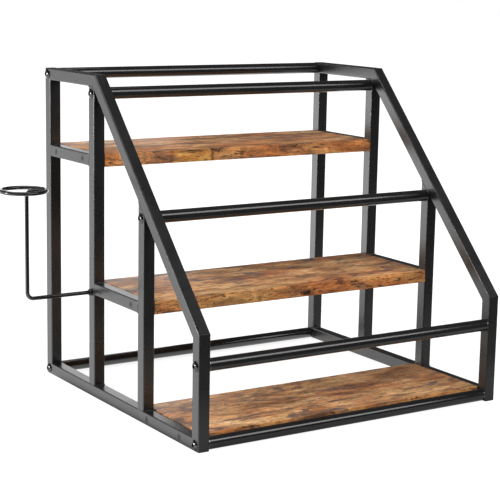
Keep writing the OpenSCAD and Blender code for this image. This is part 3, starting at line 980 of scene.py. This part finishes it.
@dataclass
class RailBolts:
    """Domed bolts with a hexagon socket, one at each end of every rail."""

    metal: bpy.types.Material
    head_diameter: float = 12.5 * MM
    head_height: float = 3.2 * MM
    rim_height: float = 0.5 * MM
    rim_round: float = 0.15 * MM
    socket_across: float = 4.0 * MM
    socket_chamfer: float = 0.2 * MM
    socket_depth: float = 2.0 * MM
    shank_diameter: float = 6.0 * MM
    shank_length: float = 28.0 * MM
    sides: int = 48
    dome_rings: int = 10
    seed: int = 7

    def dome(self, radius: float) -> float:
        """Returns the dome's height over the frame at a distance from the axis."""
        rise = self.head_height - self.rim_height
        edge = self.head_diameter / 2
        ball = (rise ** 2 + edge ** 2) / (2 * rise)
        return self.head_height - ball + math.sqrt(ball ** 2 - radius ** 2)

    def master(self) -> bpy.types.Object:
        """Makes one bolt at the origin, with its shank along +Z."""
        edge = self.head_diameter / 2
        shank = self.shank_diameter / 2
        mouth = self.socket_across + 2 * self.socket_chamfer
        rings = [circle(shank * 0.86, self.shank_length, self.sides),
                 circle(shank, self.shank_length - shank * 0.2, self.sides),
                 circle(shank, 0.0, self.sides),
                 circle(edge - self.rim_round, 0.0, self.sides),
                 circle(edge, -self.rim_round, self.sides),
                 circle(edge, -self.rim_height + self.rim_round, self.sides)]
        start = edge - self.rim_round
        stop = mouth / 2 / math.cos(math.pi / 6) + self.socket_chamfer
        for i in range(self.dome_rings):
            radius = start + (stop - start) * i / (self.dome_rings - 1)
            rings.append(circle(radius, -self.dome(radius), self.sides))
        top = self.dome(stop)
        rings += [hexagon(mouth, -top, self.sides),
                  hexagon(self.socket_across, -top + self.socket_chamfer, self.sides),
                  hexagon(self.socket_across, -top + self.socket_depth, self.sides),
                  hexagon(self.socket_across * 0.2, -top + self.socket_depth * 1.15, self.sides)]
        build = bmesh.new()
        ringed(build, rings)
        return new_object("rail_bolt", mesh_of("rail_bolt", build, math.radians(28)))

    def build(self, ends: Sequence[tuple[Vector, Vector]]) -> None:
        """Sets a bolt at each rail end.

        Args:
            ends: The places and directions of the bolts.
        """
        master = self.master()
        bolts = point_mesh("rail_bolt_set", [end[0] for end in ends], [end[1] for end in ends])
        fastener_tree(master, self.seed).bake(bolts, {"Material": self.metal})
        bpy.data.objects.remove(master)
        keep(bolts, Slot.PLATED_STEEL, "rail_bolts")


@dataclass
class ShelfScrews:
    """Countersunk cross-head screws that hold the boards through the side frames."""

    metal: bpy.types.Material
    head_diameter: float = 8.0 * MM
    head_rim: float = 0.3 * MM
    head_sink: float = 0.1 * MM
    shank_diameter: float = 4.0 * MM
    length: float = 38.0 * MM
    tip_length: float = 4.0 * MM
    recess_width: float = 0.95 * MM
    recess_span: float = 4.6 * MM
    recess_depth: float = 1.5 * MM
    inset: float = 17.0 * MM
    bottom_inset: float = 27.5 * MM
    sides: int = 40
    seed: int = 21

    def places(self) -> list[tuple[Vector, Vector]]:
        """Finds the screws' places on the outer faces, each with the direction into the board."""
        low_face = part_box("left_bottom_tube")
        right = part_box("right_bottom_tube")[1].x
        spots = []
        for name, inset in (("left_top_shelf_support", self.inset), ("left_middle_shelf_support", self.inset),
                            ("bottom_board_edging", self.bottom_inset)):
            low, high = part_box(name)
            z = (low_face[0].z + low_face[1].z) / 2 if name.startswith("bottom") else (low.z + high.z) / 2
            spots += [(low.y + inset, z), (high.y - inset, z)]
        found = []
        for y, z in spots:
            found.append((Vector((low_face[0].x, y, z)), Vector((1.0, 0.0, 0.0))))
            found.append((Vector((right, y, z)), Vector((-1.0, 0.0, 0.0))))
        return found

    def recess(self) -> bpy.types.Object:
        """Makes the tapered cross that is cut out of the head."""
        build = bmesh.new()
        for turn in (0.0, math.pi / 2):
            arm = []
            for z, shrink in ((-1.0 * MM, 1.1), (self.recess_depth, 0.45)):
                half_span = self.recess_span / 2 * shrink
                half_width = self.recess_width / 2 * (0.6 + 0.4 * shrink)
                ring = []
                for x, y in ((half_span, half_width), (-half_span, half_width), (-half_span, -half_width),
                             (half_span, -half_width)):
                    ring.append((x * math.cos(turn) - y * math.sin(turn), x * math.sin(turn) + y * math.cos(turn), z))
                arm.append(ring)
            ringed(build, arm)
        return new_object("cross_cutter", mesh_of("cross_cutter", build))

    def master(self) -> bpy.types.Object:
        """Makes one screw at the origin, with its shank along +Z and its head flush."""
        head = self.head_diameter / 2 - self.head_sink
        shank = self.shank_diameter / 2
        neck = self.head_sink + self.head_rim + head - shank
        rings = [circle(head * 0.94, self.head_sink, self.sides),
                 circle(head, self.head_sink + self.head_rim, self.sides),
                 circle(shank, neck, self.sides),
                 circle(shank, self.length - self.tip_length, self.sides),
                 circle(shank * 0.05, self.length, self.sides)]
        build = bmesh.new()
        ringed(build, rings)
        screw = new_object("shelf_screw", mesh_of("shelf_screw", build))
        cutter = self.recess()
        cut = screw.modifiers.new("recess", "BOOLEAN")
        cut.operation = "DIFFERENCE"
        cut.solver = "EXACT"
        cut.use_self = True
        cut.object = cutter
        graph = bpy.context.evaluated_depsgraph_get()
        mesh = bpy.data.meshes.new_from_object(screw.evaluated_get(graph), depsgraph=graph)
        screw.modifiers.clear()
        screw.data = mesh
        mesh.set_sharp_from_angle(angle=math.radians(30))
        bpy.data.objects.remove(cutter)
        return screw

    def build(self) -> None:
        """Sets the screws in the side frames."""
        master = self.master()
        places = self.places()
        screws = point_mesh("shelf_screw_set", [place[0] for place in places], [place[1] for place in places])
        fastener_tree(master, self.seed).bake(screws, {"Material": self.metal})
        bpy.data.objects.remove(master)
        keep(screws, Slot.BLACK_HARDWARE, "shelf_screws")


@dataclass
class Shelf:
    """One board with the edging strips on its front and its back edge."""

    level: Level
    face: bpy.types.Material
    edge: bpy.types.Material
    edge_round: float = 0.7 * MM
    board_round: float = 0.12 * MM
    edging: float = 0.8 * MM
    round_steps: int = 4

    def panel(self, name: str) -> bpy.types.Object:
        """Makes the board with softened edges and returns it."""
        low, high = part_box(name)
        build = bmesh.new()
        ringed(build, [[(low.x, low.y, z), (high.x, low.y, z), (high.x, high.y, z), (low.x, high.y, z)]
                       for z in (low.z, high.z)])
        bmesh.ops.bevel(build, geom=list(build.edges), offset=self.board_round, segments=2,
                        affect="EDGES", profile=0.5)
        panel = new_object(name + "_panel", mesh_of(name + "_panel", build, math.radians(60)))
        panel.data.materials.append(self.face)
        return panel

    def strips(self, name: str) -> bpy.types.Object:
        """Makes the two edging strips, rounded on their outer edges.

        Args:
            name: The edging's node.

        Returns:
            The strips as one object.
        """
        low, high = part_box(name)
        build = bmesh.new()
        for outer, inward in ((low.y, 1.0), (high.y, -1.0)):
            section = [(outer + inward * self.edging, low.z), (outer + inward * self.edging, high.z)]
            for corner, first in ((high.z - self.edge_round, math.pi / 2), (low.z + self.edge_round, 0.0)):
                for i in range(self.round_steps + 1):
                    turn = first - math.pi / 2 * i / self.round_steps
                    section.append((outer + inward * self.edge_round * (1.0 - math.cos(turn)),
                                    corner + self.edge_round * math.sin(turn)))
            ringed(build, [[(x, y, z) for y, z in section] for x in (low.x, high.x)])
        strips = new_object(name + "_strips", mesh_of(name + "_strips", build, math.radians(50)))
        strips.data.materials.append(self.edge)
        return strips

    def build(self) -> None:
        """Makes the board and its edging."""
        name = self.level.value + "_board"
        keep(self.panel(name), Slot.BOARD, name)
        keep(self.strips(name + "_edging"), Slot.EDGING, name + "_edging")


@dataclass
class RingHolder:
    """The bent wire with its ring, and the nuts that hold it on the left frame."""

    coat: bpy.types.Material
    black: bpy.types.Material
    plated: bpy.types.Material
    wire: float = 5.0 * MM
    bend: float = 8.0 * MM
    wire_sides: int = 28
    ring_points: int = 144
    weld_radius: float = 1.1 * MM
    weld_points: int = 28
    nut_across: float = 8.0 * MM
    nut_chamfer: float = 0.45 * MM
    nut_sides: int = 48

    def wire_path(self) -> list[Point]:
        """Returns the corners of the wire: frame, foot and head of the rod, and the ring."""
        low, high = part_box("holder_wire")
        ring_low, ring_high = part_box("holder_ring")
        y = (low.y + high.y) / 2
        arm_z = low.z + self.wire / 2
        top_z = high.z - self.wire / 2
        rod_x = low.x + self.wire / 2
        return [(high.x, y, arm_z), (rod_x, y, arm_z), (rod_x, y, top_z), (ring_high.x - self.wire / 2, y, top_z)]

    def build(self, sweep: GeometryTree, bead: GeometryTree) -> None:
        """Makes the wire, the ring and its weld, and dresses the nuts.

        Args:
            sweep: The tree of a swept wire.
            bead: The tree of a weld bead.
        """
        path = self.wire_path()
        wire = line_mesh("holder_bent_wire", [path])
        sweep.bake(wire, {"Diameter": self.wire, "Bend": self.bend, "Sides": self.wire_sides, "Material": self.coat})
        keep(wire, Slot.POWDER_COAT, "holder_wire")

        low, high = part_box("holder_ring")
        middle = (low + high) / 2
        radius = (high.x - low.x - self.wire) / 2
        turns = [math.tau * i / self.ring_points for i in range(self.ring_points)]
        circle_line = [(middle.x + radius * math.cos(t), middle.y + radius * math.sin(t), middle.z) for t in turns]
        ring = line_mesh("holder_ring_wire", [circle_line], closed=True)
        sweep.bake(ring, {"Diameter": self.wire, "Bend": 0.0, "Sides": self.wire_sides, "Material": self.coat})
        keep(ring, Slot.POWDER_COAT, "holder_ring")

        weld_x = path[-1][0] - self.wire * 0.42
        turns = [math.tau * i / self.weld_points for i in range(self.weld_points)]
        collar = [(weld_x, middle.y + self.wire / 2 * math.cos(t), middle.z + self.wire / 2 * math.sin(t))
                  for t in turns]
        weld = line_mesh("holder_ring_weld", [collar], closed=True)
        bead.bake(weld, {"Radius": self.weld_radius, "Sides": 10, "Material": self.coat})
        keep(weld, Slot.POWDER_COAT)
        self.build_nut()
        dress("holder_rivet_nut", self.plated)

    def build_nut(self) -> None:
        """Makes the lock nut with chamfered corners."""
        low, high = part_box("holder_lock_nut")
        middle = (low + high) / 2
        half = (high.x - low.x) / 2
        bore = self.wire / 2
        rounded = self.nut_across / 2 * 0.97
        outer = hexagon(self.nut_across, 0.0, self.nut_sides)
        rings = []
        for z, shape in ((-half, circle(bore, 0.0, self.nut_sides)), (-half, circle(rounded, 0.0, self.nut_sides)),
                         (-half + self.nut_chamfer, outer), (half - self.nut_chamfer, outer),
                         (half, circle(rounded, 0.0, self.nut_sides)), (half, circle(bore, 0.0, self.nut_sides))):
            rings.append([(z + middle.x, y + middle.y, x + middle.z) for x, y, _ in shape])
        build = bmesh.new()
        ringed(build, rings + [rings[0]], False, False)
        bmesh.ops.remove_doubles(build, verts=build.verts, dist=0.001 * MM)
        nut = new_object("holder_hex_nut", mesh_of("holder_hex_nut", build, math.radians(25)))
        nut.data.materials.append(self.black)
        keep(nut, Slot.BLACK_HARDWARE, "holder_lock_nut")


@dataclass(frozen=True)
class Softbox:
    """One rectangular soft light."""

    name: str
    place: Point
    aim: Point
    width: float
    height: float
    power: float
    on_matt: bool = True
    in_gloss: bool = True

    def build(self) -> None:
        """Adds the light to the scene."""
        light = bpy.data.lights.new(self.name, "AREA")
        light.shape = "RECTANGLE"
        light.size = self.width
        light.size_y = self.height
        light.energy = self.power
        lamp = bpy.data.objects.new(self.name, light)
        lamp.location = self.place
        lamp.visible_diffuse = self.on_matt
        lamp.visible_glossy = self.in_gloss
        lamp.visible_camera = False
        way = Vector(self.aim) - Vector(self.place)
        lamp.rotation_euler = way.to_track_quat("-Z", "Y").to_euler()
        bpy.context.scene.collection.objects.link(lamp)


@dataclass
class Studio:
    """The pale floor, the soft lights, the white surroundings and the camera."""

    camera_place: Point = (-0.9865, -1.5817, 0.5320)
    camera_yaw: float = 0.57193
    camera_pitch: float = 0.18325
    camera_roll: float = -0.01829
    focal_pixels: float = 1493.73
    picture_pixels: float = 500.0
    sensor_mm: float = 36.0
    floor_half: float = 14.0
    floor_colour: Colour = (0.34, 0.34, 0.34)
    near_glow: float = 0.84
    far_glow: float = 1.0
    near_reach: float = 0.45
    far_reach: float = 1.3
    floor_mirrored: tuple[float, float] = (0.03, 1.0)
    front_floor_mirrored: float = 0.09
    sky_light: float = 0.30
    front_mirrored: float = 0.06
    left_mirrored: float = 1.0
    right_mirrored: float = 0.08
    ceiling_mirrored: float = 0.06
    softboxes: tuple[Softbox, ...] = (
        Softbox("side_softbox", (-3.4, 1.5, 0.85), (0.04, 0.0, 0.18), 3.2, 1.6, 150.0, in_gloss=False),
        Softbox("back_card", (0.0, 0.46, 0.22), (0.0, 0.0, 0.22), 0.36, 0.40, 0.65, on_matt=False),
        Softbox("top_softbox", (-0.5, 0.3, 2.4), (0.04, 0.0, 0.18), 1.8, 1.8, 25.0),
        Softbox("rail_softbox", (1.3, -1.9, 1.75), (1.3, 0.0, 0.20), 3.0, 1.00, 29.0, on_matt=False),
        Softbox("fill_softbox", (0.5, -2.2, 2.0), (0.04, 0.0, 0.18), 1.6, 0.9, 50.0, in_gloss=False),
        Softbox("spark_softbox", (-2.8, 0.97, 0.35), (0.04, 0.0, 0.20), 0.50, 0.50, 42.0, on_matt=False),
    )

    def build(self) -> None:
        """Builds the whole studio."""
        self.build_floor()
        self.build_surroundings()
        for softbox in self.softboxes:
            softbox.build()
        self.build_camera()

    def build_floor(self) -> None:
        """Makes the pale floor, which keeps the object's shadow."""
        half = self.floor_half
        mesh = bpy.data.meshes.new("studio_floor")
        mesh.from_pydata([(-half, -half, 0.0), (half, -half, 0.0), (half, half, 0.0), (-half, half, 0.0)], [],
                         [(0, 1, 2, 3)])
        floor = new_object("studio_floor", mesh)
        material = bpy.data.materials.new("studio_floor")
        material.use_nodes = True
        material.node_tree.nodes.clear()
        graph = Graph(material.node_tree)
        matt = graph.add("ShaderNodeBsdfDiffuse", {"Color": opaque(self.floor_colour)})
        away = graph.add("ShaderNodeVectorMath", {0: graph.add("ShaderNodeTexCoord").outputs["Object"]},
                         operation="LENGTH").outputs[1]
        white = graph.span(away, self.near_reach, self.far_reach, self.near_glow, self.far_glow)
        rays = graph.add("ShaderNodeLightPath").outputs
        mirrored = graph.math("MAXIMUM", rays["Is Glossy Ray"], rays["Is Transmission Ray"])
        # Painted reflection: in glossy rays the floor glows at full strength left of and behind the rack and under its
        # right end, only faintly elsewhere, and dark in front of it
        across, depth, _ = graph.add("ShaderNodeSeparateXYZ",
                                     {0: graph.add("ShaderNodeTexCoord").outputs["Object"]}).outputs
        beside = graph.span(across, -0.175, -0.160, 1.0, 0.0)
        bright = graph.math("MAXIMUM", beside, graph.span(depth, 0.10, 0.20))
        bright = graph.math("MULTIPLY", bright, graph.span(depth, -0.50, -0.25))
        under = graph.math("MULTIPLY", graph.span(across, 0.08, 0.20), graph.span(across, 0.27, 0.29, 1.0, 0.0))
        under = graph.math("MULTIPLY", under, graph.span(depth, -0.20, -0.18))
        bright = graph.math("MAXIMUM", bright, under)
        dim = graph.span(bright, 0.0, 1.0, self.floor_mirrored[0], self.floor_mirrored[1], False)
        strength = graph.math("ADD", graph.math("MULTIPLY", rays["Is Camera Ray"], white),
                              graph.math("MULTIPLY", mirrored, dim))
        glow = graph.add("ShaderNodeEmission", {"Strength": strength})
        both = graph.add("ShaderNodeAddShader", {0: matt.outputs[0], 1: glow.outputs[0]})
        dark = graph.add("ShaderNodeEmission", {"Strength": self.front_floor_mirrored})
        ahead = graph.math("MULTIPLY", mirrored, graph.span(depth, -0.42, -0.27, 1.0, 0.0))
        seen = graph.add("ShaderNodeMixShader", {0: ahead, 1: both.outputs[0], 2: dark.outputs[0]})
        graph.add("ShaderNodeOutputMaterial", {"Surface": seen.outputs[0]})
        floor.data.materials.append(material)

    def build_surroundings(self) -> None:
        """Makes the world: soft light for the object, white where the background is looked at."""
        world = bpy.data.worlds.new("studio")
        bpy.context.scene.world = world
        world.use_nodes = True
        world.node_tree.nodes.clear()
        graph = Graph(world.node_tree)
        rays = graph.add("ShaderNodeLightPath").outputs
        way = graph.add("ShaderNodeSeparateXYZ", {0: graph.add("ShaderNodeTexCoord").outputs["Generated"]}).outputs
        back = graph.span(way[0], -0.45, 0.15, self.left_mirrored, self.right_mirrored, False)
        behind = graph.span(way[1], -0.2, 0.3)
        around = graph.math("ADD", graph.math("MULTIPLY", behind, back),
                            graph.math("MULTIPLY", graph.math("SUBTRACT", 1.0, behind), self.front_mirrored))
        high = graph.span(way[2], 0.16, 0.45)
        dim = graph.math("ADD", graph.math("MULTIPLY", graph.math("SUBTRACT", 1.0, high), around),
                         graph.math("MULTIPLY", high, self.ceiling_mirrored))
        mirrored = graph.math("MAXIMUM", rays["Is Glossy Ray"], rays["Is Transmission Ray"])
        light = graph.math("MULTIPLY", graph.math("SUBTRACT", 1.0, mirrored), self.sky_light)
        level = graph.math("ADD", light, graph.math("MULTIPLY", mirrored, dim))
        camera = rays["Is Camera Ray"]
        level = graph.math("ADD", graph.math("MULTIPLY", graph.math("SUBTRACT", 1.0, camera), level), camera)
        background = graph.add("ShaderNodeBackground", {"Color": (1.0, 1.0, 1.0, 1.0), "Strength": level})
        graph.add("ShaderNodeOutputWorld", {"Surface": background.outputs[0]})

    def build_camera(self) -> None:
        """Sets the camera where the photograph was taken from."""
        camera = bpy.data.cameras.new("camera")
        camera.sensor_width = self.sensor_mm
        camera.lens = self.focal_pixels / self.picture_pixels * self.sensor_mm
        camera.clip_start = 0.05
        camera.clip_end = 60.0
        obj = bpy.data.objects.new("camera", camera)
        bpy.context.scene.collection.objects.link(obj)
        yaw, pitch, roll = self.camera_yaw, self.camera_pitch, self.camera_roll
        forward = Vector((math.sin(yaw) * math.cos(pitch), math.cos(yaw) * math.cos(pitch), -math.sin(pitch)))
        level_right = Vector((math.cos(yaw), -math.sin(yaw), 0.0))
        level_down = forward.cross(level_right)
        right = math.cos(roll) * level_right + math.sin(roll) * level_down
        up = math.sin(roll) * level_right - math.cos(roll) * level_down
        turn = Matrix((right, up, -forward)).transposed().to_4x4()
        obj.matrix_world = Matrix.Translation(self.camera_place) @ turn
        bpy.context.scene.camera = obj


@dataclass
class Rack:
    """The whole rack, put together from its sub-assemblies."""

    finishes: Finishes

    def build(self) -> None:
        """Builds every sub-assembly in order."""
        look = self.finishes
        bead = weld_bead_tree()
        for side in Side:
            SideFrame(side, look.powder_coat).build(bead)
        rails = CrossRails(look.rail_coat, look.plated_steel)
        rails.build(turned_tube_tree())
        RailBolts(look.black_plating).build(rails.ends())
        ShelfScrews(look.black_hardware).build()
        for level in Level:
            Shelf(level, look.boards[level], look.edgings[level]).build()
        RingHolder(look.wire_coat, look.black_hardware, look.plated_steel).build(swept_wire_tree(), bead)


def main() -> None:
    """Builds the rack and the studio."""
    logging.basicConfig(level=logging.INFO, format="%(message)s")
    scene = bpy.context.scene
    scene.view_settings.view_transform = "Standard"
    Rack(Finishes()).build()
    Studio().build()


if __name__ == "__main__":
    main()
